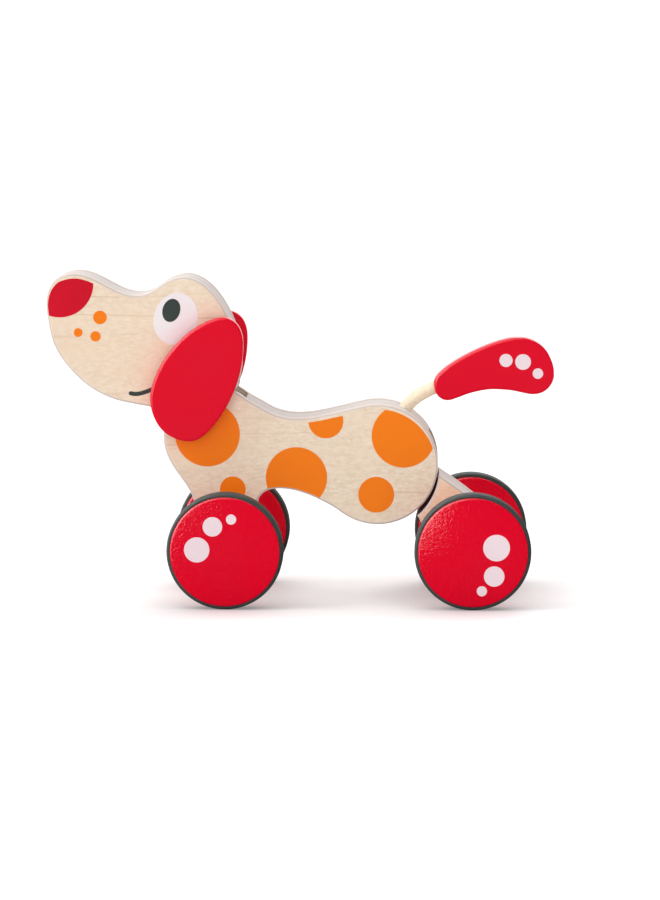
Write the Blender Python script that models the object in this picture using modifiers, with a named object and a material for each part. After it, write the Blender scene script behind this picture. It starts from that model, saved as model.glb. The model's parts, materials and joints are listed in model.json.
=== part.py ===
"""A wooden pull-along dog on four wheels.

The body, the head and the rear leg are each built of three boards: a core between two side
boards.  A tongue on the head's core and one on the rear leg's core turn on wooden pins between
the body's side boards.  Both ears hang on one dowel through the head, and each pair of wheels
turns with its axle.  The dog faces -X, +Z is up, and y = 0 is its middle plane.
"""
import bpy
import bmesh
from math import asin, atan2, cos, degrees, hypot, pi, radians, sin

MM = 0.001                     # every length below is written in millimetres and scaled by this
GAP = 0.3                      # air between two pieces that touch

# Joint axes, as (x, z); all of them run along Y.
NECK = (-39.9, 75.3)
HIP = (35.0, 62.7)
FRONT_AXLE = (-33.4, 26.3)
REAR_AXLE = (78.2, 26.3)
EAR = (-39.0, 118.3)

# Layers, from the middle plane outwards.
CORE_FACE = 9.2
BOARD_INNER = CORE_FACE + GAP
BOARD_OUTER = 16.5
WASHER_THICKNESS = 1.4
EAR_INNER = BOARD_OUTER + GAP + WASHER_THICKNESS + GAP
EAR_OUTER = EAR_INNER + 6.0
WHEEL_OUTER = 46.0
WHEEL_WIDTH = 12.0
WHEEL_INNER = WHEEL_OUTER - WHEEL_WIDTH

# The two hinge shapes: a round lobe on the body, and the hollow seat that rides round it.
# A seat has one radius at each of its ends, and changes evenly between them.
NECK_LOBE = 22.8
NECK_SEAT = (24.0, 24.0)
RUMP_LOBE = 27.5
RUMP_SEAT = (28.2, 29.6)
NECK_SEAT_ENDS = (152, 64)     # degrees, from the jaw to the nape
RUMP_SEAT_ENDS = (-9.5, -52)   # degrees, from the top of the leg to its underside
NECK_TONGUE = 9.0              # half its width, and the radius of its round end
HIP_TONGUE = 8.5
NECK_TONGUE_DIRECTION = 108
HIP_TONGUE_DIRECTION = -31
TONGUE_CLEARANCE = 1.0
# Directions of the tongues, in degrees, at which the ends of the body core would stop them.
NECK_STOPS = (128, 76)
HIP_STOPS = (11, -61)

# Round pieces.
PIN_RADIUS = 4.0
PIN_HALF_LENGTH = 14.2
AXLE_RADIUS = 4.0
AXLE_HALF_LENGTH = 42.2
EAR_DOWEL_RADIUS = 3.0
EAR_DOWEL_HALF_LENGTH = EAR_INNER + 3.7
WASHER_RADIUS = 6.0
SPACER_RADIUS = 7.5
FRONT_BOSS = 12.5
REAR_BOSS = 16.0
WHEEL_RADIUS = 24.7
TYRE_RADIUS = 26.3
TYRE_SEAT = 23.5               # the floor of the groove round the wheel
WHEEL_LIP = 1.0
WHEEL_EDGE = 0.7
AXLE_SOCKET_DEPTH = 8.5
WHEEL_STEPS = 36
SMALL_STEPS = 20

# Tail.
TAIL_ROD_RADIUS = 3.0
TAIL_ROUTE = [(43.8, 79.5), (45.3, 83.8), (48.3, 88.0), (53.0, 92.4), (61.5, 96.9), (70.5, 99.9)]
PADDLE_HALF_THICKNESS = 5.0

BOARD_EDGE = 1.0
PADDLE_EDGE = 2.0
EAR_EDGE = 1.6

WOOD = (0.80, 0.62, 0.46, 1.0)
WOOD_EDGE = (0.76, 0.66, 0.55, 1.0)
RED = (0.68, 0.01, 0.02, 1.0)
RUBBER = (0.03, 0.04, 0.04, 1.0)
ROD_WOOD = (0.85, 0.73, 0.55, 1.0)


# ---------------------------------------------------------------- outlines, in the XZ plane

def polar(centre, radius, angle):
    """The point at an angle, in degrees, on a circle."""
    return (centre[0] + radius * cos(radians(angle)), centre[1] + radius * sin(radians(angle)))


def arc(centre, radius, start, end, step=10):
    """Points along an arc from one angle to another, about one every `step` degrees."""
    count = max(2, round(abs(end - start) / step))
    return [polar(centre, radius, start + (end - start) * i / count) for i in range(count + 1)]


def smooth(knots, start=None, end=None, closed=False, steps=2):
    """A smooth curve through the knots; start and end are its directions in degrees there."""
    count = len(knots)

    def tangent(index, length):
        if not closed and index == 0 and start is not None:
            return (length * cos(radians(start)), length * sin(radians(start)))
        if not closed and index == count - 1 and end is not None:
            return (length * cos(radians(end)), length * sin(radians(end)))
        before = knots[(index - 1) % count] if closed else knots[max(index - 1, 0)]
        after = knots[(index + 1) % count] if closed else knots[min(index + 1, count - 1)]
        chord = (after[0] - before[0], after[1] - before[1])
        scale = length / hypot(*chord)
        return (chord[0] * scale, chord[1] * scale)

    points = []
    for index in range(count if closed else count - 1):
        here, there = knots[index], knots[(index + 1) % count]
        length = hypot(there[0] - here[0], there[1] - here[1])
        leave = tangent(index, length)
        arrive = tangent((index + 1) % count, length)
        for step in range(steps):
            t = step / steps
            points.append(tuple(
                (2 * t ** 3 - 3 * t ** 2 + 1) * here[axis] + (t ** 3 - 2 * t ** 2 + t) * leave[axis]
                + (3 * t ** 2 - 2 * t ** 3) * there[axis] + (t ** 3 - t ** 2) * arrive[axis]
                for axis in (0, 1)))
    return points if closed else points + [knots[-1]]


def seat_line(pivot, radii, ends, start, end):
    """Points from one angle to another along a hollow seat."""
    count = max(2, round(abs(end - start) / 10))
    angles = [start + (end - start) * i / count for i in range(count + 1)]
    growth = (radii[1] - radii[0]) / (ends[1] - ends[0])
    return [polar(pivot, radii[0] + growth * (angle - ends[0]), angle) for angle in angles]


def reach(radius, half_width):
    """The angle, in degrees, that half a tongue's width spans at a radius."""
    return degrees(asin(half_width / radius))


def chest_to_belly():
    """Down the chest, round the front foot and along the belly to the rump."""
    chest = smooth([polar(NECK, NECK_LOBE, 203), (-57.2, 59.8), (-51.3, 51.3), (-48.0, 43.3),
                    (-46.4, 34.3), polar(FRONT_AXLE, FRONT_BOSS, 190)], start=-67, end=-80)
    foot = arc(FRONT_AXLE, FRONT_BOSS, 200, 350, step=12)
    belly = smooth([(-21.2, 33.3), (-20.8, 41.8), (-19.2, 47.1), (-16.0, 50.3), (-11.0, 51.5),
                    (-3.0, 50.8), (6.0, 47.7), (14.5, 43.4), polar(HIP, RUMP_LOBE, 236)],
                   start=90, end=-34)
    return chest + foot + belly


def back_line():
    """From the rump forward along the back to the neck lobe."""
    return smooth([polar(HIP, RUMP_LOBE, 96), (19.0, 87.2), (6.0, 84.4), (-4.0, 83.8),
                   (-12.5, 85.7), (-18.9, 89.2), polar(NECK, NECK_LOBE, 50)], start=186, end=145)


def body_outline():
    """The whole side of the body."""
    lobe = arc(NECK, NECK_LOBE, 56, 196)
    rump = arc(HIP, RUMP_LOBE, 243, 449)
    return lobe + chest_to_belly() + rump + back_line()


def body_core_outline():
    """The body's core, open at the neck and at the rump for the two tongues."""
    neck_pocket = NECK_TONGUE + TONGUE_CLEARANCE
    hip_pocket = HIP_TONGUE + TONGUE_CLEARANCE
    neck_reach = reach(NECK_LOBE, neck_pocket)
    hip_reach = reach(RUMP_LOBE, hip_pocket)
    chest_end = arc(NECK, NECK_LOBE, NECK_STOPS[0] + neck_reach, 196)
    underside = arc(HIP, RUMP_LOBE, 243, 360 + HIP_STOPS[1] - hip_reach)
    hip = arc(HIP, hip_pocket, 270 + HIP_STOPS[1], 90 + HIP_STOPS[0], step=18)
    top = arc(HIP, RUMP_LOBE, HIP_STOPS[0] + hip_reach, 89)
    nape = [polar(NECK, NECK_LOBE, NECK_STOPS[1] - neck_reach)]
    neck = arc(NECK, neck_pocket, NECK_STOPS[1] - 90, NECK_STOPS[0] + 90 - 360, step=18)
    return chest_end + chest_to_belly() + underside + hip + top + back_line()[:-1] + nape + neck


def face_line():
    """Round the muzzle and under the chin to the jaw."""
    return smooth([(-101.8, 149.5), (-111.0, 147.3), (-115.4, 139.8), (-115.3, 130.3),
                   (-112.3, 117.1), (-105.6, 106.7), (-95.9, 97.7), (-84.3, 92.1), (-69.0, 88.9),
                   polar(NECK, NECK_SEAT[0], NECK_SEAT_ENDS[0])], start=180, end=-14)[:-1]


def crown_line():
    """From the nape over the crown to the bridge of the nose."""
    return smooth([polar(NECK, NECK_SEAT[1], NECK_SEAT_ENDS[1]), (-28.0, 106.3), (-28.6, 116.3),
                   (-31.8, 127.3), (-37.4, 137.7), (-44.8, 145.3), (-53.0, 148.2), (-61.9, 145.5),
                   (-68.0, 141.3), (-74.8, 139.7), (-82.9, 141.5), (-92.6, 146.5), (-101.8, 149.5)],
                  start=86, end=180)[1:-1]


def head_outline():
    """The side of the head, with the hollow seat at the neck."""
    seat = seat_line(NECK, NECK_SEAT, NECK_SEAT_ENDS, *NECK_SEAT_ENDS)
    return face_line() + seat + crown_line()


def tongue(pivot, half_width, direction, radii, ends):
    """Along the seat, out round a tongue about the pivot, and on along the seat."""
    spread = reach(sum(radii) / 2, half_width)
    first = seat_line(pivot, radii, ends, ends[0], direction + spread)
    tip = arc(pivot, half_width, direction + 90, direction + 270, step=18)
    last = seat_line(pivot, radii, ends, direction - spread, ends[1])
    return first + tip + last


def head_core_outline():
    """The head's core: the side of the head with the neck tongue below it."""
    seat = tongue(NECK, NECK_TONGUE, NECK_TONGUE_DIRECTION, NECK_SEAT, NECK_SEAT_ENDS)
    return face_line() + seat + crown_line()


def leg_edge():
    """From the underside of the rear leg's seat round the axle to the top of the seat."""
    low = polar(HIP, RUMP_SEAT[1], RUMP_SEAT_ENDS[1])
    under = smooth([low, (56.8, 32.7), polar(REAR_AXLE, REAR_BOSS, 200)], start=-62, end=-70)
    return under[1:] + arc(REAR_AXLE, REAR_BOSS, 212, 414, step=12)


def leg_outline():
    """The side of the rear leg, with the hollow seat at the rump."""
    return seat_line(HIP, RUMP_SEAT, RUMP_SEAT_ENDS, *RUMP_SEAT_ENDS) + leg_edge()


def leg_core_outline():
    """The rear leg's core, with the hip tongue."""
    seat = tongue(HIP, HIP_TONGUE, HIP_TONGUE_DIRECTION, RUMP_SEAT, RUMP_SEAT_ENDS)
    return seat + leg_edge()


def ear_outline():
    """A long drop, widest below the middle."""
    return smooth([(-35.2, 130.3), (-28.4, 126.9), (-25.9, 118.3), (-28.2, 101.9), (-35.7, 85.9),
                   (-46.0, 75.0), (-54.8, 74.4), (-64.1, 80.6), (-68.2, 93.3), (-64.2, 107.1),
                   (-56.2, 118.3), (-46.5, 126.3)], closed=True, steps=3)


def paddle_outline():
    """The tail's red end, narrow at the rod and round at its tip."""
    return smooth([(60.6, 99.5), (62.0, 93.6), (66.6, 91.0), (76.1, 94.0), (86.0, 96.1),
                   (97.0, 95.5), (106.0, 93.9), (111.8, 95.7), (115.5, 101.8), (113.9, 110.4),
                   (109.2, 116.6), (101.5, 119.8), (91.2, 118.6), (75.9, 112.3), (64.3, 104.8)],
                  closed=True)


# ---------------------------------------------------------------- scene, materials, tools

def clear_scene():
    for item in list(bpy.data.objects):
        bpy.data.objects.remove(item, do_unlink=True)


def collection(name):
    made = bpy.data.collections.new(name)
    bpy.context.scene.collection.children.link(made)
    return made


def material(name, colour, roughness):
    made = bpy.data.materials.new(name)
    made.use_nodes = True
    shader = made.node_tree.nodes["Principled BSDF"]
    shader.inputs["Base Color"].default_value = colour
    shader.inputs["Roughness"].default_value = roughness
    shader.inputs["Metallic"].default_value = 0.0
    return made


def axis_empty(name, axis):
    """An empty on a joint's axis, the parent of the pieces that turn about it."""
    empty = bpy.data.objects.new(name, None)
    empty.location = (axis[0] * MM, 0, axis[1] * MM)
    bpy.context.scene.collection.objects.link(empty)
    return empty


def place(piece, centre, parent):
    """Put a piece at a point in the toy's frame, under its joint's empty if it has one."""
    piece.location = centre
    if parent:
        piece.parent = parent
        piece.location = piece.location - parent.location


def add_piece(piece, look):
    PARTS.objects.link(piece)
    piece.data.materials.append(material(piece.name, *look))
    return piece


def board(name, outline, inner, outer, look, edge=BOARD_EDGE, holes=(), parent=None):
    """A flat board between two Y planes, with chamfered edges and round holes through it."""
    curve = bpy.data.curves.new(name, "CURVE")
    curve.dimensions = "2D"
    curve.fill_mode = "BOTH"
    curve.extrude = (abs(outer - inner) / 2 - edge) * MM
    curve.bevel_depth = edge * MM
    curve.bevel_resolution = 0
    curve.offset = -edge * MM
    circles = [arc(centre, radius, 0, 360, step=18)[:-1] for centre, radius in holes]
    for loop in [outline] + circles:
        spline = curve.splines.new("POLY")
        spline.points.add(len(loop) - 1)
        for point, (x, z) in zip(spline.points, loop):
            point.co = (x * MM, z * MM, 0, 1)
        spline.use_cyclic_u = True
    piece = bpy.data.objects.new(name, curve)
    piece.rotation_euler = (pi / 2, 0, 0)
    place(piece, (0, (inner + outer) / 2 * MM, 0), parent)
    weld = piece.modifiers.new("weld_caps", "WELD")
    weld.merge_threshold = 0.00001
    return add_piece(piece, look)


def tube(name, route, radius):
    """A round rod along a route in the middle plane."""
    curve = bpy.data.curves.new(name, "CURVE")
    curve.dimensions = "3D"
    curve.bevel_depth = radius * MM
    curve.bevel_resolution = 2
    curve.use_fill_caps = True
    points = smooth(route)
    spline = curve.splines.new("POLY")
    spline.points.add(len(points) - 1)
    for point, (x, z) in zip(spline.points, points):
        point.co = (x * MM, 0, z * MM, 1)
    return bpy.data.objects.new(name, curve)


def as_mesh(item):
    """A mesh object in the place of a curve object, with its loose caps welded on."""
    bpy.context.view_layer.update()
    mesh = bpy.data.meshes.new_from_object(item.evaluated_get(bpy.context.evaluated_depsgraph_get()))
    work = bmesh.new()
    work.from_mesh(mesh)
    bmesh.ops.remove_doubles(work, verts=work.verts, dist=0.00001)
    work.to_mesh(mesh)
    work.free()
    name, parent = item.name, item.parent
    place_in_world = item.matrix_world.copy()
    home = item.users_collection
    bpy.data.objects.remove(item, do_unlink=True)
    made = bpy.data.objects.new(name, mesh)
    for group in home:
        group.objects.link(made)
    made.parent = parent
    made.matrix_world = place_in_world
    return made


def add_cutter(item):
    """Move a solid to the cutters, out of the render."""
    for group in list(item.users_collection):
        group.objects.unlink(item)
    CUTTERS.objects.link(item)
    item.hide_render = True
    item.display_type = "WIRE"
    return item


def cut(piece, cutter):
    boolean = piece.modifiers.new("cut_" + cutter.name, "BOOLEAN")
    boolean.operation = "DIFFERENCE"
    boolean.object = cutter


def dowel(name, axis, radius, half_length, parent=None):
    """A cylinder along Y, centred on the middle plane."""
    bpy.ops.mesh.primitive_cylinder_add(vertices=SMALL_STEPS, radius=radius * MM,
                                        depth=2 * half_length * MM, rotation=(pi / 2, 0, 0))
    piece = bpy.context.object
    piece.name = name
    for group in list(piece.users_collection):
        group.objects.unlink(piece)
    place(piece, (axis[0] * MM, 0, axis[1] * MM), parent)
    return piece


def turned(name, profile, closed, steps, axis, side, inner, look, parent):
    """A turned piece about Y: its profile is (radius, distance outwards from the inner plane)."""
    mesh = bpy.data.meshes.new(name)
    count = len(profile)
    edges = [(i, (i + 1) % count) for i in range(count if closed else count - 1)]
    mesh.from_pydata([(r * MM, 0, z * MM) for r, z in profile], edges, [])
    piece = bpy.data.objects.new(name, mesh)
    screw = piece.modifiers.new("turn", "SCREW")
    screw.steps = steps
    screw.render_steps = steps
    screw.use_merge_vertices = True
    screw.merge_threshold = 0.00001
    piece.rotation_euler = (-side * pi / 2, 0, 0)
    place(piece, (axis[0] * MM, side * inner * MM, axis[1] * MM), parent)
    return add_piece(piece, look)


# ---------------------------------------------------------------- pieces

def make_body():
    """Two side boards and a core, the two hinge pins, and the tail."""
    outline = body_outline()
    axle_hole = (FRONT_AXLE, AXLE_RADIUS + GAP)
    plates = [as_mesh(board("body_plate_" + hand, outline, side * BOARD_INNER, side * BOARD_OUTER,
                            (WOOD, 0.45), holes=[axle_hole]))
              for hand, side in SIDES]
    for pin, axis in (("neck_pin", NECK), ("hip_pin", HIP)):
        socket = add_cutter(dowel(pin + "_socket", axis, PIN_RADIUS + GAP, PIN_HALF_LENGTH + GAP))
        for plate in plates:
            cut(plate, socket)
        add_piece(dowel(pin, axis, PIN_RADIUS, PIN_HALF_LENGTH), (ROD_WOOD, 0.5))
    core = as_mesh(board("body_core", body_core_outline(), -CORE_FACE, CORE_FACE,
                         (WOOD_EDGE, 0.5), edge=0, holes=[axle_hole]))
    rod = tube("tail_rod", TAIL_ROUTE, TAIL_ROD_RADIUS)
    add_piece(rod, (ROD_WOOD, 0.5))
    paddle = as_mesh(board("tail_paddle", paddle_outline(), -PADDLE_HALF_THICKNESS,
                           PADDLE_HALF_THICKNESS, (RED, 0.35), edge=PADDLE_EDGE))
    socket = tube("tail_rod_socket", longer(TAIL_ROUTE, GAP), TAIL_ROD_RADIUS + GAP)
    CUTTERS.objects.link(socket)
    socket = add_cutter(as_mesh(socket))
    cut(core, socket)
    cut(paddle, socket)


def longer(route, extra):
    """The route with both ends moved out by a small distance."""
    def beyond(end, neighbour):
        angle = degrees(atan2(end[1] - neighbour[1], end[0] - neighbour[0]))
        return polar(end, extra, angle)
    return [beyond(route[0], route[1])] + route[1:-1] + [beyond(route[-1], route[-2])]


def make_head(neck_axis):
    outline = head_outline()
    dowel_hole = (EAR, EAR_DOWEL_RADIUS + GAP)
    for hand, side in SIDES:
        board("head_board_" + hand, outline, side * BOARD_INNER, side * BOARD_OUTER,
              (WOOD, 0.45), holes=[dowel_hole], parent=neck_axis)
    board("head_core", head_core_outline(), -CORE_FACE, CORE_FACE, (WOOD_EDGE, 0.5), edge=0,
          holes=[dowel_hole, (NECK, PIN_RADIUS + GAP)], parent=neck_axis)


def make_ears(ear_axis):
    """Both ears, glued to the ends of one dowel, each with a washer against the head."""
    socket = add_cutter(dowel("ear_dowel_socket", EAR, EAR_DOWEL_RADIUS + GAP,
                              EAR_DOWEL_HALF_LENGTH + GAP))
    ring = [(WASHER_RADIUS, WASHER_THICKNESS), (WASHER_RADIUS, 0),
            (EAR_DOWEL_RADIUS + GAP, 0), (EAR_DOWEL_RADIUS + GAP, WASHER_THICKNESS)]
    for hand, side in SIDES:
        ear = as_mesh(board("ear_" + hand, ear_outline(), side * EAR_INNER, side * EAR_OUTER,
                            (RED, 0.35), edge=EAR_EDGE, parent=ear_axis))
        cut(ear, socket)
        turned("ear_washer_" + hand, ring, True, SMALL_STEPS, EAR, side, BOARD_OUTER + GAP,
               (ROD_WOOD, 0.6), ear_axis)
    add_piece(dowel("ear_dowel", EAR, EAR_DOWEL_RADIUS, EAR_DOWEL_HALF_LENGTH, ear_axis),
              (ROD_WOOD, 0.5))


def make_rear_leg(hip_axis):
    outline = leg_outline()
    axle_hole = (REAR_AXLE, AXLE_RADIUS + GAP)
    for hand, side in SIDES:
        board("leg_board_" + hand, outline, side * BOARD_INNER, side * BOARD_OUTER,
              (WOOD, 0.45), holes=[axle_hole], parent=hip_axis)
    board("leg_core", leg_core_outline(), -CORE_FACE, CORE_FACE, (WOOD_EDGE, 0.5), edge=0,
          holes=[axle_hole, (HIP, PIN_RADIUS + GAP)], parent=hip_axis)


def make_wheelset(end, axis, parent):
    """An axle with a spacer, a grooved wheel and a rubber tyre at each end."""
    bore = AXLE_RADIUS + GAP
    wheel = [(0, WHEEL_WIDTH), (WHEEL_RADIUS - WHEEL_EDGE, WHEEL_WIDTH),
             (WHEEL_RADIUS, WHEEL_WIDTH - WHEEL_EDGE), (WHEEL_RADIUS, WHEEL_WIDTH - WHEEL_LIP),
             (TYRE_SEAT, WHEEL_WIDTH - WHEEL_LIP), (TYRE_SEAT, WHEEL_LIP),
             (WHEEL_RADIUS, WHEEL_LIP), (WHEEL_RADIUS, WHEEL_EDGE),
             (WHEEL_RADIUS - WHEEL_EDGE, 0), (bore, 0), (bore, AXLE_SOCKET_DEPTH),
             (0, AXLE_SOCKET_DEPTH)]
    low, high = WHEEL_LIP + GAP, WHEEL_WIDTH - WHEEL_LIP - GAP
    shoulder = 0.6
    tyre = [(TYRE_SEAT + GAP, high), (TYRE_RADIUS - shoulder, high), (TYRE_RADIUS, high - shoulder),
            (TYRE_RADIUS, low + shoulder), (TYRE_RADIUS - shoulder, low), (TYRE_SEAT + GAP, low)]
    spacer_length = WHEEL_INNER - BOARD_OUTER - 2 * GAP
    spacer = [(SPACER_RADIUS, spacer_length), (SPACER_RADIUS, 0), (bore, 0), (bore, spacer_length)]
    for hand, side in SIDES:
        name = end + "_{}_" + hand
        turned(name.format("wheel"), wheel, False, WHEEL_STEPS, axis, side, WHEEL_INNER,
               (RED, 0.3), parent)
        turned(name.format("tyre"), tyre, True, WHEEL_STEPS, axis, side, WHEEL_INNER,
               (RUBBER, 0.7), parent)
        turned(name.format("spacer"), spacer, True, SMALL_STEPS, axis, side, BOARD_OUTER + GAP,
               (ROD_WOOD, 0.6), parent)
    add_piece(dowel(end + "_axle", axis, AXLE_RADIUS, AXLE_HALF_LENGTH, parent), (ROD_WOOD, 0.5))


clear_scene()
PARTS = collection("pull_along_dog")
CUTTERS = collection("cutters")
SIDES = (("left", -1), ("right", 1))
make_body()
make_head(axis_empty("neck_axis", NECK))
make_ears(axis_empty("ear_axis", EAR))
make_rear_leg(axis_empty("hip_axis", HIP))
make_wheelset("front", FRONT_AXLE, axis_empty("front_axle_axis", FRONT_AXLE))
make_wheelset("rear", REAR_AXLE, axis_empty("rear_axle_axis", REAR_AXLE))
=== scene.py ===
"""The looks of a wooden pull-along dog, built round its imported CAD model.

Every CAD piece is replaced by a finer one in the same place: boards get smooth outlines and
rounded edges, and turned pieces get fine profiles.  The printed nose, eyes, smile, freckles,
spots and dots are thin patches of paint.  The dog faces -X and +Z is up.
"""
import json
from functools import reduce
from math import ceil, cos, pi, radians, sin, tan

import bmesh
import bpy
from mathutils import Euler, Matrix, Vector


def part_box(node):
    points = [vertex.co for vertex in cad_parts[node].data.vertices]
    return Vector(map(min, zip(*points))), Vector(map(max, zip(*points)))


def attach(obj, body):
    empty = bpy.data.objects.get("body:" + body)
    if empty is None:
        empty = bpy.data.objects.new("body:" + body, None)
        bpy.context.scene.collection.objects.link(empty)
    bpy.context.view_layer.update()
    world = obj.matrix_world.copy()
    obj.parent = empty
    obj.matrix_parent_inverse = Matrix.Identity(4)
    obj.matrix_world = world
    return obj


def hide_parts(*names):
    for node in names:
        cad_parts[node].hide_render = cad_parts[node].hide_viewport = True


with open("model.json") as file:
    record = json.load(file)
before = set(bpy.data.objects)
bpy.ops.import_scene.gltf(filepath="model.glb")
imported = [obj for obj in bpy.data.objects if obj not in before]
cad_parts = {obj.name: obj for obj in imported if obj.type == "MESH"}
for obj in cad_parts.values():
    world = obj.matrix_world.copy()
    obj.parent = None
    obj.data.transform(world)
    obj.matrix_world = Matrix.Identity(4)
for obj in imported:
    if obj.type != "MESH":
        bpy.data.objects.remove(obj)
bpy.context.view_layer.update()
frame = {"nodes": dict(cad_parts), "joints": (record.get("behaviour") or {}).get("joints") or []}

MM = 0.001                       # lengths below are in millimetres and scaled by this
SAME_PLACE = 1e-6                # metres between two points that count as one
SAME_LEVEL = 1e-5                # metres between two points that count as level
WALL_TILT = 0.05                 # the Y of a CAD face's normal, up to which it is a wall
FAR = 1.0                        # metres, more than any part of the dog
SIDES = (("left", -1), ("right", 1))

# Boards.
BOARD_ROUND = 1.0                # radius of the outer edges of the face boards
INNER_ROUND = 0.5                # radius of the edges where layers meet
EAR_ROUND = 1.4
EAR_BACK_ROUND = 1.0
PADDLE_ROUND = 1.4
STEP = 0.9                       # spacing of the points along an outline
CORNER_TURN = radians(38)        # a sharper turn than this in a CAD outline is a real corner
CORNER_SHARE = 0.25              # how much of its rounding an edge keeps right at a corner
CORNER_GROWTH = 0.4              # how fast the rounding grows back along the edge
FILLET_STEPS = 5
FLAT_MARGIN = 0.12               # the flat beside a rounding starts this share of its radius on
PROFILE_STEP = 0.001             # points of a turned profile that are closer than this are one

# Turned pieces.
WHEEL_STEPS = 128
SMALL_STEPS = 56
TYRE_LIP = 1.0                   # width of the wheel's rim outside its groove
GROOVE_DEPTH = 1.2
HUB_DEPTH = 8.5
WHEEL_ROUND = 0.8                # radius of the outer edge of a wheel
LIP_ROUND = 0.1
GROOVE_ROUND = 0.15
HUB_ROUNDS = (0.5, 0.3)          # at the mouth and at the end of the axle's hole
TYRE_ROUND = 0.9
SPACER_ROUND = 0.8
WASHER_ROUND = 0.4
DOWEL_ROUND = 0.6
BORE_ROUND = 0.2                 # radius of the edges of a ring's hole
BORE_GAP = 0.3                   # air between a ring and what it sits on
WHEEL_SINK = 0.1                 # the wheel's face lies this far inside the CAD face, for its paint
WHEEL_DOME = {"front": 1.2, "rear": 2.2}    # how much its lacquer seems to rise to the middle

# Edges of the boards: how thick their plies are, and brown lines as (from, to, strength) across Y:
# the first is painted shade in the groove where a face board meets the core, the second a fainter
# line where a face meets its rounded edge.
BOARD_PLY = 1.75
CORE_PLY = 1.84
EDGE_MARKS = [(9.4, 10.1, 0.9), (16.2, 16.45, 0.35)]
EAR_GLOW = (19.8, 22.2, 0.6)     # painted glow: the part of an ear's edge that shines as if lit, and how strongly it glows
# Painted shade in the seat of the hip's hinge, on the leg's edge, where the gap lies in shadow.
SEAT_MIDDLE = (0.72, -2.68)      # from the hip axis: the seat opens out downwards
SEAT_RADIUS = 27.2
SEAT_FACE = 15.6                 # the painted shade ends this far from the middle plane
SEAT_FADES = (0.2, 0.4)          # how far it fades out beyond the radius and beyond that plane

# Paint lies this far above and below the surface that it is printed on.
PAINT_RISE = 0.05
PAINT_ROOT = 0.03
PAINT_EDGE = 0.015
PRINT_REACH = 0.2                # prints reach this far past the start of a rounded edge
PRINT_DROP = 1.3                 # and stop this much earlier along the top of a face
PRINT_STEPS = 72
STROKE_STEPS = 6                 # pieces of a brush stroke between two of its points
STROKE_END_STEPS = 10

# Tail rod: points along its middle line, from the hip axis.
ROD_ROUTE = [(8.8, 16.8), (10.3, 21.1), (13.3, 25.3), (18.0, 29.7), (26.5, 34.2), (35.5, 37.2)]

# Prints on the body: (x, z, radius) from the hip axis.
SPOTS = [(-77.6, 13.8, 14.8), (-66.1, -11.5, 5.9), (-37.0, -6.1, 14.0), (-23.6, 20.0, 8.0),
         (11.8, 13.2, 14.5), (-0.6, -13.8, 8.2)]
# Prints on the head, from the ear axis.
NOSE = (-70.7, 26.9, 15.5)
FRECKLES = [(-52.3, 11.4, 3.1), (-62.3, 4.5, 2.0), (-54.4, 2.8, 2.35)]
EYE = (-17.9, 10.9)
EYE_HALF_AXES = (9.9, 11.9)
PUPIL = (-19.8, 14.7)
PUPIL_HALF_AXES = (4.0, 5.4)
EYE_LEAN = radians(-17)
SMILE = [(-38.5, -23.2), (-36.8, -23.5), (-35.0, -23.4), (-32.9, -22.9), (-29.4, -21.6), (-24.4, -18.8)]
SMILE_WIDTH = 1.9
# Prints on the wheels, from the wheel's middle, and on the tail, from the rod's far end.
WHEEL_DOTS = {"front": [(-12.5, 1.0, 5.7), (-5.4, 11.5, 4.4), (3.0, 14.8, 2.3)],
              "rear": [(10.6, 2.3, 6.0), (9.6, -10.6, 4.6), (4.1, -17.3, 2.3)]}
TAIL_DOTS = [(23.0, 9.6, 3.0), (30.8, 8.9, 3.6), (37.6, 3.6, 2.4)]

# Floor, light and camera.
FLOOR_RADIUS = 60.0              # metres
FLOOR_STEPS = 96
FLOOR_GLOW = 0.22                # lifts the floor's shadows
CONTACT_REACH = 0.042            # metres round a wheel in which the floor darkens
CONTACT_RANGE = (0.27, 0.97)     # how open a place is where the shade is full, and where it ends
CONTACT_SAMPLES = 8
SURROUND = 0.92                  # strength of the even light from all sides
BACKDROP = 1.05                  # strength of the white that the camera sees
KEY = ((-1.0, -0.25, 0.75), 35, 1.15)       # direction, angle in degrees and strength
BACK = ((0.2, 0.8, 1.0), 35, 0.6)
# What glossy surfaces mirror: direction, where its light starts and where it is full, as cosines
# of the angle from that direction, and its strength.
SCREENS = [((-0.75, -0.3, 0.6), 0.53, 0.85, 5.0), ((-0.47, -0.84, 0.18), 0.952, 0.985, 6.0),
           ((0.0, 1.0, 0.2), 0.90, 0.98, 1.2)]
CAMERA_LENS = 148
CAMERA_PLACE = (0.0555, -1.6918, 0.2572)
CAMERA_PITCH = 6.395
CAMERA_YAW = 1.4426

# Grain of the boards' faces, in degrees about Y.
BODY_GRAIN = 2
LEG_GRAIN = -30

# Gloss, as (roughness, specular level).
FACE_GLOSS = (0.42, 0.4)
EDGE_GLOSS = (0.5, 0.35)
DOWEL_GLOSS = (0.5, 0.4)
LACQUER_GLOSS = (0.2, 0.3)
WHEEL_GLOSS = (0.13, 0.4)
PRINT_GLOSS = (0.4, 0.15)
RUBBER_GLOSS = (0.55, 0.4)
FLOOR_GLOSS = (0.8, 0.0)
GLOSS_PLAY = 0.04                # how much the roughness of lacquer varies each way

# Height of the surface detail in a material's bump.
WOOD_RELIEF = 0.03
DOWEL_RELIEF = 0.04
RUBBER_RELIEF = 0.04
LACQUER_PEBBLE = 0.012
WHEEL_PEBBLE = 0.14

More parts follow.
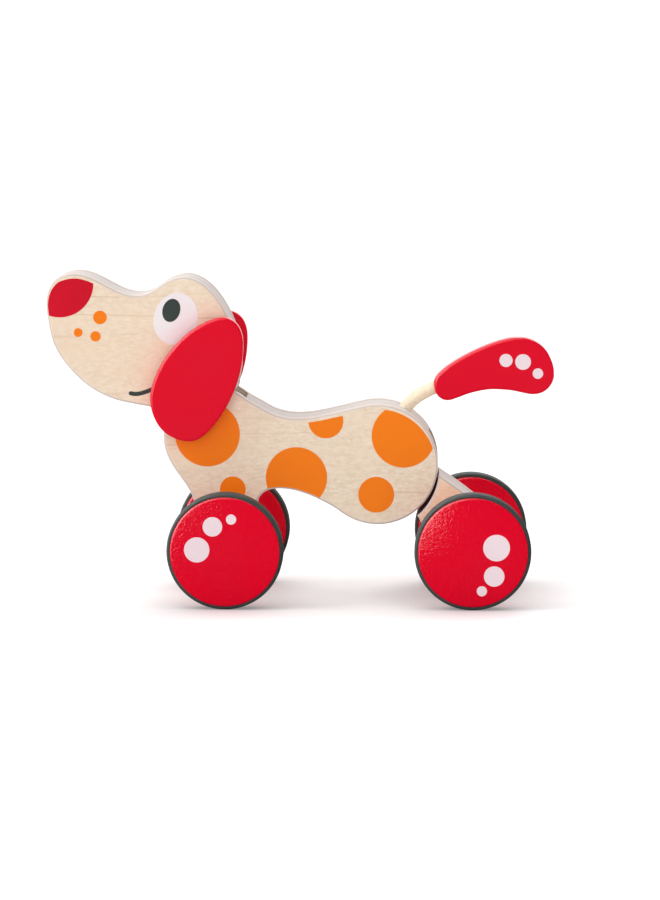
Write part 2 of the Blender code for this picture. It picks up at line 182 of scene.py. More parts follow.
# Colours, as linear light.
FACE_LIGHT = (0.74, 0.60, 0.44)
FACE_DEEP = (0.69, 0.53, 0.38)
FACE_PALE = (0.81, 0.70, 0.56)
FACE_WARM = (0.77, 0.57, 0.42)
FACE_LINE = (0.52, 0.33, 0.22)
LEG_TINT_AND_PAINTED_LIGHT = (1.12, 0.98, 0.9)     # the rear leg's wood is a little redder, and its red is raised as painted light against the shade the leg stands in
BOARD_LIGHT = (0.74, 0.66, 0.61)
BOARD_DEEP = (0.68, 0.58, 0.52)
CORE_LIGHT = (0.66, 0.60, 0.57)
CORE_DEEP = (0.59, 0.51, 0.47)
EDGE_PALE = (0.76, 0.70, 0.66)
# brown of the glue lines between plies, and of the painted shade in the grooves between layers
EDGE_GLUE_AND_SHADE = (0.30, 0.19, 0.14)
# painted shade for the hip's seat, where the gap between rump and leg lies in shadow
SEAT_SHADE = (0.10, 0.025, 0.02)
DOWEL_LIGHT = (0.88, 0.75, 0.57)
DOWEL_DEEP = (0.81, 0.66, 0.47)
DOWEL_FLECK = (0.66, 0.48, 0.31)
RED = (0.71, 0.0, 0.017)
RED_DEEP = (0.66, 0.0, 0.018)
# colour of the painted glow on the ears' edges
RED_GLOW = (0.8, 0.02, 0.05)
NOSE_RED = (0.51, 0.0, 0.014)
ORANGE = (0.86, 0.205, 0.004)
ORANGE_DEEP = (0.80, 0.165, 0.003)
WHITE = (0.80, 0.68, 0.71)
WHITE_DEEP = (0.75, 0.61, 0.65)
EYE_WHITE = (0.78, 0.78, 0.78)
BLACK = (0.045, 0.060, 0.054)
BLACK_DEEP = (0.03, 0.04, 0.036)
RUBBER_DARK = (0.030, 0.038, 0.036)
RUBBER_DUST = (0.055, 0.068, 0.064)
FLOOR_WHITE = (0.80, 0.80, 0.80)
CONTACT_SHADE = (0.40, 0.30, 0.32)


# ---------------------------------------------------------------- reading the frame

def joint_axis(name):
    """Where a joint's axis crosses the XZ plane."""
    joint = next(item for item in frame["joints"] if item["name"] == name)
    return Vector((joint["pos_m"][0], joint["pos_m"][2]))


def outer_face(node, side):
    """The Y of a node's outer face."""
    low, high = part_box(node)
    return high.y if side > 0 else low.y


def rim_loops(node, side):
    """The closed loops of (x, z) points round a CAD board's outer rim, the largest first."""
    work = bmesh.new()
    work.from_mesh(frame["nodes"][node].data)
    bmesh.ops.remove_doubles(work, verts=work.verts, dist=SAME_PLACE)
    work.verts.index_update()
    work.normal_update()

    def is_wall(face):
        return abs(face.normal.y) < WALL_TILT

    rims = [edge for edge in work.edges
            if len(edge.link_faces) == 2
            and is_wall(edge.link_faces[0]) != is_wall(edge.link_faces[1])
            and abs(edge.verts[0].co.y - edge.verts[1].co.y) < SAME_PLACE]
    level = max(edge.verts[0].co.y * side for edge in rims)
    rims = [edge for edge in rims if level - edge.verts[0].co.y * side < SAME_LEVEL]
    nearby = {}
    for edge in rims:
        for here, there in (edge.verts, reversed(edge.verts)):
            nearby.setdefault(here, []).append(there)
    loops = []
    while nearby:
        here = min(nearby, key=lambda vertex: (len(nearby[vertex]), vertex.index))
        loop = []
        while here is not None:
            loop.append(Vector((here.co.x, here.co.z)))
            here = next((there for there in nearby.pop(here) if there in nearby), None)
        loops.append(loop)
    work.free()
    return sorted(loops, key=lambda loop: -abs(signed_area(loop)))


# ---------------------------------------------------------------- outlines

def signed_area(loop):
    return sum(a.x * b.y - b.x * a.y for a, b in zip(loop, loop[1:] + loop[:1])) / 2


def left_of(direction):
    return Vector((-direction.y, direction.x))


class Outline:
    """A smooth closed outline: its points, their normals into the material, and how far the
    nearest sharp corner is along it."""

    def __init__(self, points, hole=False, step=STEP * MM):
        if (signed_area(points) < 0) != hole:
            points = points[::-1]
        self.points, self.normals, corners = [], [], []
        count = len(points)
        runs = [points[(i + 1) % count] - points[i] for i in range(count)]
        ways = [run.normalized() for run in runs]
        is_corner = [abs(ways[i - 1].angle(ways[i])) > CORNER_TURN for i in range(count)]
        smooth = [(ways[i - 1] * runs[i].length + ways[i] * runs[i - 1].length).normalized()
                  for i in range(count)]
        for i in range(count):
            after = (i + 1) % count
            start = smooth[i] if not is_corner[i] else mirrored(smooth[after], ways[i], is_corner[after])
            end = smooth[after] if not is_corner[after] else mirrored(smooth[i], ways[i], is_corner[i])
            if is_corner[i]:
                before = mirrored(smooth[i - 1], ways[i - 1], is_corner[i - 1])
                bend = left_of(before) + left_of(start)
                self.points.append(points[i])
                self.normals.append(bend * (2 / bend.length_squared))
                corners.append(len(self.points) - 1)
            pieces = max(1, ceil(runs[i].length / step))
            for k in range(1 if is_corner[i] else 0, pieces):
                point, way = hermite(points[i], points[after], start, end, k / pieces)
                self.points.append(point)
                self.normals.append(left_of(way))
        self.slack = self.slack_from(corners)

    def slack_from(self, corners):
        """Each point's distance along the outline to the nearest corner."""
        if not corners:
            return [FAR] * len(self.points)
        along = [0.0]
        for a, b in zip(self.points, self.points[1:] + self.points[:1]):
            along.append(along[-1] + (b - a).length)
        total = along.pop()
        return [min(min(abs(s - along[c]), total - abs(s - along[c])) for c in corners) for s in along]

    def ring(self, inset, depth, rounding):
        """The outline moved into the material by inset; depth is how far the ring lies below
        the face.  Both shrink near a corner, where the rounding is smaller."""
        made = []
        for point, normal, slack in zip(self.points, self.normals, self.slack):
            share = min(1.0, CORNER_SHARE + CORNER_GROWTH * slack / rounding)
            made.append((point + normal * inset * share, depth * share))
        return made


def mirrored(way, chord, straight):
    """The direction at the other end of a circular stretch, from the direction at this end."""
    return chord if straight else (chord * (2 * chord.dot(way)) - way).normalized()


def hermite(here, there, start, end, t):
    """The point and direction at share t of a smooth stretch between two points."""
    length = (there - here).length
    leave, arrive = start * length, end * length
    point = (here * (2 * t ** 3 - 3 * t ** 2 + 1) + leave * (t ** 3 - 2 * t ** 2 + t)
             + there * (3 * t ** 2 - 2 * t ** 3) + arrive * (t ** 3 - t ** 2))
    way = (here * (6 * t ** 2 - 6 * t) + leave * (3 * t ** 2 - 4 * t + 1)
           + there * (6 * t - 6 * t ** 2) + arrive * (3 * t ** 2 - 2 * t))
    return point, way.normalized()


def ellipse(centre, half_axes, lean=0.0, steps=PRINT_STEPS):
    turn = Matrix.Rotation(lean, 2)
    return [centre + turn @ Vector((half_axes[0] * cos(2 * pi * i / steps),
                                    half_axes[1] * sin(2 * pi * i / steps))) for i in range(steps)]


def circle(centre, radius):
    return ellipse(centre, (radius, radius))


def clipped(loop, centre, radius):
    """The part of a closed loop inside a circle."""
    clip = circle(centre, radius)
    for a, b in zip(clip, clip[1:] + clip[:1]):
        inward = left_of(b - a).normalized()
        kept = []
        for p, q in zip(loop, loop[1:] + loop[:1]):
            p_in, q_in = (p - a).dot(inward), (q - a).dot(inward)
            if p_in >= 0:
                kept.append(p)
            if (p_in >= 0) != (q_in >= 0):
                kept.append(p + (q - p) * (p_in / (p_in - q_in)))
        loop = kept
    return thinned(loop)


def thinned(loop, least=0.05 * MM):
    """The loop without points that lie closer together than the least distance."""
    kept = []
    for point in loop:
        if not kept or (point - kept[-1]).length > least:
            kept.append(point)
    return kept if (kept[0] - kept[-1]).length > least else kept[:-1]


def stroke(line, width):
    """The outline of a brush stroke with round ends along a line of points."""
    half = width / 2
    turns = [pi / 2 + pi * i / STROKE_END_STEPS for i in range(STROKE_END_STEPS + 1)]
    fine = []
    for i in range(len(line) - 1):
        way_in = (line[min(i + 1, len(line) - 1)] - line[max(i - 1, 0)]).normalized()
        way_out = (line[min(i + 2, len(line) - 1)] - line[i]).normalized()
        fine += [hermite(line[i], line[i + 1], way_in, way_out, k / STROKE_STEPS)
                 for k in range(STROKE_STEPS)]
    fine.append((line[-1], way_out))
    start, end = fine[0], fine[-1]
    head = [start[0] + Matrix.Rotation(turn, 2) @ start[1] * half for turn in turns]
    tail = [end[0] - Matrix.Rotation(turn, 2) @ end[1] * half for turn in turns]
    lower = [point - left_of(way) * half for point, way in fine[1:-1]]
    upper = [point + left_of(way) * half for point, way in reversed(fine[1:-1])]
    return head + lower + tail + upper


# ---------------------------------------------------------------- meshes

def fillet(corners, steps=FILLET_STEPS):
    """A profile with rounded corners: corners are (a, b, radius), with no radius where an open
    profile ends.  A point just before and after each rounding makes the flats shade flat, where
    the flat has room for it."""
    places = [Vector(corner[:2]) for corner in corners]
    nexts = places[1:] + places[:1]
    ways = [(there - here).normalized() for here, there in zip(places, nexts)]
    halves = [(-before).angle(way) / 2 for before, way in zip(ways[-1:] + ways[:-1], ways)]
    reaches = [radius / tan(half) for (_, _, radius), half in zip(corners, halves)]
    needs = [reach + FLAT_MARGIN * radius for reach, (_, _, radius) in zip(reaches, corners)]
    has_room = [(there - here).length > need + next_need
                for here, there, need, next_need in zip(places, nexts, needs, needs[1:] + needs[:1])]
    made = []
    for i, (_, _, radius) in enumerate(corners):
        if radius == 0:
            made.append(places[i])
            continue
        back, on = -ways[i - 1], ways[i]
        centre = places[i] + (back + on).normalized() * (radius / sin(halves[i]))
        start = places[i] + back * reaches[i] - centre
        sweep = pi - 2 * halves[i]
        turn = 1 if on.cross(back) > 0 else -1
        if has_room[i - 1]:
            made.append(places[i] + back * needs[i])
        made += [centre + Matrix.Rotation(turn * sweep * k / steps, 2) @ start for k in range(steps + 1)]
        if has_room[i]:
            made.append(places[i] + on * needs[i])
    return made


def quads(ring, after):
    """The corners of the faces between two closed rings of vertices."""
    return zip(ring, ring[1:] + ring[:1], after[1:] + after[:1], after)


def new_piece(name, work, looks, flat_faces=()):
    """A piece from a bmesh, shaded smooth but for its flat faces; its looks are its materials in
    order."""
    bmesh.ops.recalc_face_normals(work, faces=work.faces)
    for face in work.faces:
        face.smooth = face not in flat_faces
    mesh = bpy.data.meshes.new(name)
    work.to_mesh(mesh)
    work.free()
    piece = bpy.data.objects.new(name, mesh)
    bpy.context.scene.collection.objects.link(piece)
    for look in looks:
        mesh.materials.append(look)
    return piece


def slab(work, outlines, faces, rounds, looks=(0, 1), round_steps=FILLET_STEPS):
    """Adds a board between two Y planes to a bmesh, with rounded edges, and returns its caps.
    faces and rounds are (inner, outer); looks are the material numbers of its faces and edges."""
    inner, outer = faces
    out = 1 if outer > inner else -1
    thickness = abs(outer - inner)
    wide = 4 * max(rounds)       # beyond both roundings; the profile's two open ends are cut off
    profile = fillet([(wide, 0, 0), (0, 0, rounds[0]), (0, thickness, rounds[1]),
                      (wide, thickness, 0)], round_steps)[1:-1]
    half = len(profile) // 2
    cap_edges = [[], []]
    for outline in outlines:
        rings = []
        for k, (inset, height) in enumerate(profile):
            if k < half:
                base, into, depth, rounding = inner, out, height, rounds[0]
            else:
                base, into, depth, rounding = outer, -out, thickness - height, rounds[1]
            rings.append([work.verts.new((point.x, base + into * deep, point.y))
                          for point, deep in outline.ring(inset, depth, rounding)])
        for k, (ring, after) in enumerate(zip(rings, rings[1:])):
            look = looks[0] if k in (0, len(rings) - 2) else looks[1]
            for corners in quads(ring, after):
                work.faces.new(corners).material_index = look
        for edges, ring in zip(cap_edges, (rings[0], rings[-1])):
            edges += [work.edges.get(pair) for pair in zip(ring, ring[1:] + ring[:1])]
    caps = []
    for edges in cap_edges:
        filled = bmesh.ops.triangle_fill(work, use_beauty=True, edges=edges)["geom"]
        caps += [item for item in filled if isinstance(item, bmesh.types.BMFace)]
    for face in caps:
        face.material_index = looks[0]
    return caps


def stand_for(piece, node, body):
    """The piece rides on a body in the place of a CAD node, whose own piece is hidden."""
    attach(piece, body)
    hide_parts(node)


def board(name, node, side, rounds, looks, body):
    """A board in the place of a CAD board, with its outline, held inside that board's box, and
    its holes; returns its outline."""
    low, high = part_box(node)
    faces = (low.y, high.y) if side > 0 else (high.y, low.y)
    outlines = [Outline(loop, hole=k > 0) for k, loop in enumerate(rim_loops(node, side))]
    for point in outlines[0].points:
        point.x = min(max(point.x, low.x), high.x)
        point.y = min(max(point.y, low.z), high.z)
    work = bmesh.new()
    caps = slab(work, outlines, faces, [radius * MM for radius in rounds])
    stand_for(new_piece(name, work, looks, set(caps)), node, body)
    return outlines[0]


def print_patches(name, shapes, face, side, body):
    """Patches of paint on a flat face.  A shape is (closed loop, look, layer of paint), and its
    loop's own points are close enough together."""
    work = bmesh.new()
    caps = []
    looks = []
    for loop, look, layer in shapes:
        if look not in looks:
            looks.append(look)
        number = looks.index(look)
        top = face + side * PAINT_RISE * layer * MM
        root = face - side * PAINT_ROOT * MM
        edge = PAINT_EDGE * MM
        caps += slab(work, [Outline(loop, step=FAR)], (root, top), (edge, edge),
                     (number, number), round_steps=1)
    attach(new_piece(name, work, looks, set(caps)), body)


def turned(name, node, side, corners, steps, look, body):
    """A turned piece in the place of a CAD one.  Its corners are (radius, distance outwards from
    its inner end, fillet radius); a profile that doesn't start on the axis is a closed ring."""
    low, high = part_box(node)
    inner_end = low.y if side > 0 else high.y
    middle = (low + high) / 2
    axis = Vector((middle.x, middle.z))
    work = bmesh.new()
    rings = []
    for radius, distance in thinned(fillet(corners), PROFILE_STEP):
        level = inner_end + side * distance * MM
        if radius == 0:
            rings.append([work.verts.new((axis.x, level, axis.y))] * steps)
        else:
            around = ellipse(axis, (radius * MM, radius * MM), steps=steps)
            rings.append([work.verts.new((point.x, level, point.y)) for point in around])
    if corners[0][0] > 0:
        rings.append(rings[0])
    for ring, after in zip(rings, rings[1:]):
        for face in quads(ring, after):
            work.faces.new(tuple(dict.fromkeys(face)))     # three corners where a ring is a point
    stand_for(new_piece(name, work, [look]), node, body)


def size_of(node):
    """A turned CAD node's radius and length, in millimetres."""
    low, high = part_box(node)
    return (high.z - low.z) / 2 / MM, (high.y - low.y) / MM


# ---------------------------------------------------------------- materials

class Look:
    """A Principled material and short ways to add nodes to it."""

    def __init__(self, name, colour, gloss, **sockets):
        self.material = bpy.data.materials.new(name)
        self.material.use_nodes = True
        self.nodes = self.material.node_tree.nodes
        self.links = self.material.node_tree.links
        self.shader = self.nodes["Principled BSDF"]
        self.shader.inputs["Base Color"].default_value = (*colour, 1)
        self.shader.inputs["Roughness"].default_value = gloss[0]
        self.shader.inputs["Specular IOR Level"].default_value = gloss[1]
        for socket, value in sockets.items():
            self.shader.inputs[socket.replace("_", " ")].default_value = value
        self.place = self.add("ShaderNodeTexCoord").outputs["Object"]

    def add(self, kind, settings=None, **inputs):
        """A new node; inputs are values or other nodes' outputs, by socket name."""
        made = self.nodes.new(kind)
        for name, value in (settings or {}).items():
            setattr(made, name, value)
        for name, value in inputs.items():
            self.feed(made.inputs[name.replace("_", " ")], value)
        return made

    def feed(self, socket, value):
        if isinstance(value, bpy.types.NodeSocket):
            self.links.new(value, socket)
        else:
            socket.default_value = value

    def stretched(self, scale, turn=0.0):
        """Object coordinates turned about Y and scaled along each axis, per metre."""
        return self.add("ShaderNodeMapping", Vector=self.place, Rotation=(0, turn, 0),
                        Scale=scale).outputs["Vector"]

    def noise(self, scale, turn=0.0, detail=3.0, roughness=0.5):
        """Noise from 0 to 1, with its fineness along each axis, per metre."""
        return self.add("ShaderNodeTexNoise", Vector=self.stretched(scale, turn), Scale=1.0,
                        Detail=detail, Roughness=roughness, Distortion=0.0).outputs["Fac"]

    def span(self, value, low, high, to_low=0.0, to_high=1.0):
        """The value's range from low to high, mapped to another range and held at its ends."""
        made = self.add("ShaderNodeMapRange", {"clamp": True}, Value=value)
        ends = {"From Min": low, "From Max": high, "To Min": to_low, "To Max": to_high}
        for end, number in ends.items():
            made.inputs[end].default_value = number
        return made.outputs["Result"]

    def maths(self, operation, a, b=0.0):
        """A Math node."""
        made = self.add("ShaderNodeMath", {"operation": operation})
        self.feed(made.inputs[0], a)
        self.feed(made.inputs[1], b)
        return made.outputs[0]

    def blend(self, share, under, over):
        """A colour from under at 0 to over at 1.  Sockets 6 and 7 are a Mix node's two colours."""
        made = self.add("ShaderNodeMix", {"data_type": "RGBA"})
        for socket, value in ((0, share), (6, under), (7, over)):
            self.feed(made.inputs[socket], (*value, 1) if isinstance(value, tuple) else value)
        return made.outputs[2]

    def axis(self, name):
        """One object coordinate."""
        return self.add("ShaderNodeSeparateXYZ", Vector=self.place).outputs[name]

    def squared_from(self, centre):
        """The square of the distance from the line along Y through a centre (x, z)."""
        squares = []
        for name, place in (("X", centre.x), ("Z", centre.y)):
            away = self.maths("SUBTRACT", self.axis(name), place)
            squares.append(self.maths("MULTIPLY", away, away))
        return self.maths("ADD", *squares)

    def band(self, value, start, end, strength):
        """Strength where the value lies between start and end, fading out over a tenth of that."""
        fade = (end - start) / 10
        rise = self.span(value, start - fade, start, 0, strength)
        return self.maths("MULTIPLY", rise, self.span(value, end, end + fade, 1, 0))

    def paint(self, colour):
        self.links.new(colour, self.shader.inputs["Base Color"])

    def bump(self, height, distance=1.0):
        """Bump by a height, in units of a distance in millimetres."""
        bumps = self.add("ShaderNodeBump", Height=height, Distance=distance * MM, Strength=1.0)
        self.links.new(bumps.outputs["Normal"], self.shader.inputs["Normal"])


def face_wood(name, turn=0.0, tint=(1.0, 1.0, 1.0)):
    """Pale maple veneer under satin lacquer, its grain turned about Y: a fine mottle, with a few
    thin wavy lines where the rings come through."""
    # Tint scales every colour; for the rear leg it reddens the wood and brightens its red as painted
    # light.
    light, deep, pale, warm, line = (
        tuple(part * share for part, share in zip(colour, tint))
        for colour in (FACE_LIGHT, FACE_DEEP, FACE_PALE, FACE_WARM, FACE_LINE))
    look = Look(name, light, FACE_GLOSS)
    fibres = look.noise((260, 900, 620), turn, detail=5, roughness=0.8)
    streaks = look.noise((12, 100, 130), turn, detail=3)
    clouds = look.noise((14, 30, 26), turn, detail=2)
    waver = look.noise((16, 30, 45), turn, detail=2)
    rings = look.add("ShaderNodeTexWave", {"bands_direction": "Z"},
                     Vector=look.stretched((4, 20, 34), turn), Scale=1.0, Distortion=11.0,
                     Detail=2.0, Detail_Scale=1.2).outputs["Fac"]
    lines = look.maths("MULTIPLY", look.span(rings, 0.96, 1.0), look.span(waver, 0.52, 0.66, 0, 0.45))
    pores = look.span(look.noise((260, 900, 1300), turn, detail=1), 0.68, 0.78, 0, 0.3)
    colour = look.blend(look.span(streaks, 0.35, 0.7, 0, 0.6), light, deep)
    colour = look.blend(look.span(fibres, 0.4, 0.6), colour, pale)
    colour = look.blend(look.span(clouds, 0.4, 0.75, 0, 0.5), colour, warm)
    colour = look.blend(look.maths("MAXIMUM", lines, pores), colour, line)
    look.paint(colour)
    look.links.new(look.span(fibres, 0.2, 0.8, 0.36, 0.5), look.shader.inputs["Roughness"])
    look.bump(look.maths("SUBTRACT", fibres, pores), WOOD_RELIEF)
    return look.material


def ply_edge(name, light, deep, ply, marks=(), seat=None):
    """The sanded edge of a board, with its plies in layers across Y; ply is their thickness.
    Marks are brown lines round the edge, as (from, to, strength) across Y.  Seat is the middle and
    the radius of the circle at a hinge inside which the edge is painted dark, as shade."""
    look = Look(name, light, EDGE_GLOSS)
    height = look.maths("ABSOLUTE", look.axis("Y"))
    layer = look.maths("MULTIPLY", height, 1 / (ply * MM))
    from_middle = look.maths("ABSOLUTE", look.maths("SUBTRACT", look.maths("FRACT", layer), 0.5))
    across = look.maths("PINGPONG", layer, 1.0)
    grain = look.noise((160, 2400, 160), detail=4, roughness=0.7)
    patches = look.noise((45, 300, 45), detail=2)
    end_grain = look.noise((900, 500, 900), detail=2)
    colour = look.blend(look.span(grain, 0.35, 0.65), light, deep)
    colour = look.blend(look.span(across, 0.35, 0.65, 0, 0.45), colour, deep)
    colour = look.blend(look.span(patches, 0.4, 0.7, 0, 0.4), colour, EDGE_PALE)
    glue = look.maths("MULTIPLY", look.span(from_middle, 0.455, 0.485),
                      look.span(patches, 0.3, 0.6, 0.15, 0.5))
    colour = look.blend(glue, colour, EDGE_GLUE_AND_SHADE)
    # Brown lines across Y: the one where a face board meets the core is painted shade in that groove.
    for start, end, strength in marks:
        colour = look.blend(look.band(height, start * MM, end * MM, strength), colour, EDGE_GLUE_AND_SHADE)
    # Painted shade: the edge in the hip's seat is darkened, as the gap there lies in shadow.
    if seat:
        centre, radius = seat
        distance = look.maths("SQRT", look.squared_from(centre))
        inside = look.span(distance, radius, radius + SEAT_FADES[0] * MM, 1, 0)
        covered = look.span(height, SEAT_FACE * MM, (SEAT_FACE + SEAT_FADES[1]) * MM, 1, 0)
        colour = look.blend(look.maths("MULTIPLY", inside, covered), colour, SEAT_SHADE)
    look.paint(colour)
    look.bump(look.maths("ADD", look.maths("MULTIPLY", end_grain, 0.4), grain), WOOD_RELIEF)
    return look.material


def dowel_wood():
    """Bare beech, turned: fine short flecks along the grain."""
    look = Look("beech_dowel", DOWEL_LIGHT, DOWEL_GLOSS)
    fibres = look.noise((240, 240, 240), detail=4, roughness=0.7)
    flecks = look.span(look.noise((700, 260, 700), detail=1), 0.62, 0.7, 0, 0.5)
    colour = look.blend(look.span(fibres, 0.3, 0.7), DOWEL_LIGHT, DOWEL_DEEP)
    look.paint(look.blend(flecks, colour, DOWEL_FLECK))
    look.bump(fibres, DOWEL_RELIEF)
    return look.material


def lacquer(name, colour, deep, gloss=LACQUER_GLOSS, pebble=LACQUER_PEBBLE, dome=None, glow=None):
    """Sprayed lacquer on wood: a little uneven in tone, gloss and surface.  Pebble is the height
    of its orange peel.  A dome, as its centre and its height, shades a flat disc like a low dome.
    Glow, as (from, to, strength) across Y, is a painted glow: a band of the edge shines red though it is
    no lamp."""
    look = Look(name, colour, gloss)
    clouds = look.noise((35, 35, 35), detail=2)
    fibres = look.noise((60, 500, 500), detail=3)
    pebbles = look.noise((900, 900, 900), detail=2, roughness=0.5)
    tone = look.blend(look.span(clouds, 0.2, 0.8, 0, 0.8), colour, deep)
    look.paint(look.blend(look.span(fibres, 0.3, 0.8, 0, 0.3), tone, deep))
    look.links.new(look.span(clouds, 0, 1, gloss[0] - GLOSS_PLAY, gloss[0] + GLOSS_PLAY),
                   look.shader.inputs["Roughness"])
    uneven = look.maths("ADD", pebbles, look.maths("MULTIPLY", fibres, 0.5))
    height = look.maths("MULTIPLY", uneven, pebble)
    if dome:
        centre, rise = dome
        radius = size_of("front_wheel_left")[0] * MM
        fall = look.maths("MULTIPLY", look.squared_from(centre), rise / radius ** 2)
        height = look.maths("SUBTRACT", height, fall)
    look.bump(height)
    # Painted glow: this band of the edge gives off red light though it is no lamp.
    if glow:
        start, end, strength = glow
        look.shader.inputs["Emission Color"].default_value = (*RED_GLOW, 1)
        away = look.maths("ABSOLUTE", look.axis("Y"))
        look.links.new(look.band(away, start * MM, end * MM, strength),
                       look.shader.inputs["Emission Strength"])
    return look.material


def rubber():
    """Matt black-green rubber with fine moulding marks round its tread."""
    look = Look("tyre_rubber", RUBBER_DARK, RUBBER_GLOSS)
    grain = look.noise((1500, 1500, 1500), detail=2)
    dust = look.noise((60, 200, 60), detail=3)
    marks = look.add("ShaderNodeTexWave", {"bands_direction": "Y"}, Vector=look.stretched((1, 350, 1)),
                     Scale=1.0, Distortion=0.4).outputs["Fac"]
    look.paint(look.blend(look.span(dust, 0.4, 0.75, 0, 0.5), RUBBER_DARK, RUBBER_DUST))
    look.links.new(look.span(dust, 0.3, 0.7, 0.5, 0.65), look.shader.inputs["Roughness"])
    look.bump(look.maths("ADD", grain, look.maths("MULTIPLY", marks, 0.6)), RUBBER_RELIEF)
    return look.material


# ---------------------------------------------------------------- the dog

def make_boards(name, nodes, core, body, face="face_wood"):
    """Two face boards and the core between them; returns the outline of each side board."""
    edge, core_edge = LOOKS[f"{name}_board_edge"], LOOKS[f"{name}_core_edge"]
    outlines = {}
    for hand, side in SIDES:
        outlines[hand] = board(f"{name}_side_{hand}", f"{nodes}_{hand}", side,
                               (INNER_ROUND, BOARD_ROUND), [LOOKS[face], edge], body)
    board(f"{name}_middle", core, 1, (INNER_ROUND, INNER_ROUND), [edge, core_edge], body)
    return outlines


def offsets(origin, points):
    """Points given in millimetres from an origin."""
    return [origin + Vector(point[:2]) * MM for point in points]


def scaled(lengths):
    return tuple(length * MM for length in lengths)


def spot_shapes(origin, spots, look, within=None):
    """Round patches, cut off where they leave the within loop."""
    shapes = []
    for centre, (_, _, radius) in zip(offsets(origin, spots), spots):
        loop = clipped(within, centre, radius * MM) if within else circle(centre, radius * MM)
        shapes.append((loop, look, 1))
    return shapes


def print_area(outline):
    """The edge of the area that prints may cover: the flat face, less a strip along its top."""
    inset = BOARD_ROUND - PRINT_REACH
    return [point + normal * (inset + PRINT_DROP * max(0.0, -normal.y)) * MM
            for point, normal in zip(outline.points, outline.normals)]


def make_body():
    hip = joint_axis("hip_fold")
    outlines = make_boards("body", "body_plate", "body_core", "body")
    for hand, side in SIDES:
        shapes = spot_shapes(hip, SPOTS, LOOKS["orange"], print_area(outlines[hand]))
        print_patches(f"body_spots_{hand}", shapes, outer_face(f"body_plate_{hand}", side), side,
                      "body")
    for pin in ("neck_pin", "hip_pin"):
        make_dowel(pin, "body")
    make_tail(hip)


def make_head():
    ear = joint_axis("ear_swing")
    outlines = make_boards("head", "head_board", "head_core", "head")
    white, black = LOOKS["eye_white"], LOOKS["black"]
    for hand, side in SIDES:
        shapes = spot_shapes(ear, [NOSE], LOOKS["nose_red"], print_area(outlines[hand]))
        shapes += spot_shapes(ear, FRECKLES, LOOKS["orange"])
        shapes.append((ellipse(offsets(ear, [EYE])[0], scaled(EYE_HALF_AXES), EYE_LEAN), white, 1))
        shapes.append((ellipse(offsets(ear, [PUPIL])[0], scaled(PUPIL_HALF_AXES), EYE_LEAN), black, 2))
        shapes.append((stroke(offsets(ear, SMILE), SMILE_WIDTH * MM), black, 1))
        print_patches(f"head_print_{hand}", shapes, outer_face(f"head_board_{hand}", side), side,
                      "head")


def make_ears():
    for hand, side in SIDES:
        board(f"{hand}_ear", f"ear_{hand}", side, (EAR_BACK_ROUND, EAR_ROUND),
              [LOOKS["red"], LOOKS["ear_edge"]], "ears")
        node = f"ear_washer_{hand}"
        radius, length = size_of(node)
        bore = size_of("ear_dowel")[0] + BORE_GAP
        turned(f"{hand}_ear_washer", node, side, ring_profile(bore, radius, length, WASHER_ROUND),
               SMALL_STEPS, LOOKS["dowel"], "ears")
    make_dowel("ear_dowel", "ears")


def ring_profile(bore, radius, length, rounding):
    """A ring: its corners as (radius, distance, fillet)."""
    return [(bore, 0, BORE_ROUND), (radius, 0, rounding),
            (radius, length, rounding), (bore, length, BORE_ROUND)]


def make_dowel(node, body):
    radius, length = size_of(node)
    corners = [(0, 0, 0), (radius, 0, DOWEL_ROUND), (radius, length, DOWEL_ROUND), (0, length, 0)]
    turned(f"{node}_wood", node, 1, corners, SMALL_STEPS, LOOKS["dowel"], body)


def make_tail(hip):
    """A bent beech rod with the red paddle on its end."""
    radius = (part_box("tail_rod")[1].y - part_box("tail_rod")[0].y) / 2
    route = offsets(hip, ROD_ROUTE)
    work = bmesh.new()
    rings = []
    for point, way in rod_line(route):
        across = left_of(way)
        rings.append([work.verts.new((point.x + across.x * radius * cos(a), radius * sin(a),
                                      point.y + across.y * radius * cos(a)))
                      for a in (2 * pi * k / SMALL_STEPS for k in range(SMALL_STEPS))])
    for ring, after in zip(rings, rings[1:]):
        for face in quads(ring, after):
            work.faces.new(face)
    caps = {work.faces.new(rings[0]), work.faces.new(rings[-1])}
    stand_for(new_piece("tail_dowel", work, [LOOKS["dowel"]], caps), "tail_rod", "body")
    board("tail_end", "tail_paddle", 1, (PADDLE_ROUND, PADDLE_ROUND), [LOOKS["red"], LOOKS["red"]],
          "body")
    for hand, side in SIDES:
        print_patches(f"tail_dots_{hand}", spot_shapes(route[-1], TAIL_DOTS, LOOKS["white"]),
                      outer_face("tail_paddle", side), side, "body")


def rod_line(route, pieces=8):
    """Points and directions along a smooth open line."""
    last = len(route) - 1
    ways = [(route[min(i + 1, last)] - route[max(i - 1, 0)]).normalized() for i in range(last + 1)]
    line = [hermite(route[i], route[i + 1], ways[i], ways[i + 1], k / pieces)
            for i in range(last) for k in range(pieces)]
    return line + [(route[-1], ways[-1])]


def make_rear_leg():
    make_boards("leg", "leg_board", "leg_core", "rear_leg", "leg_wood")


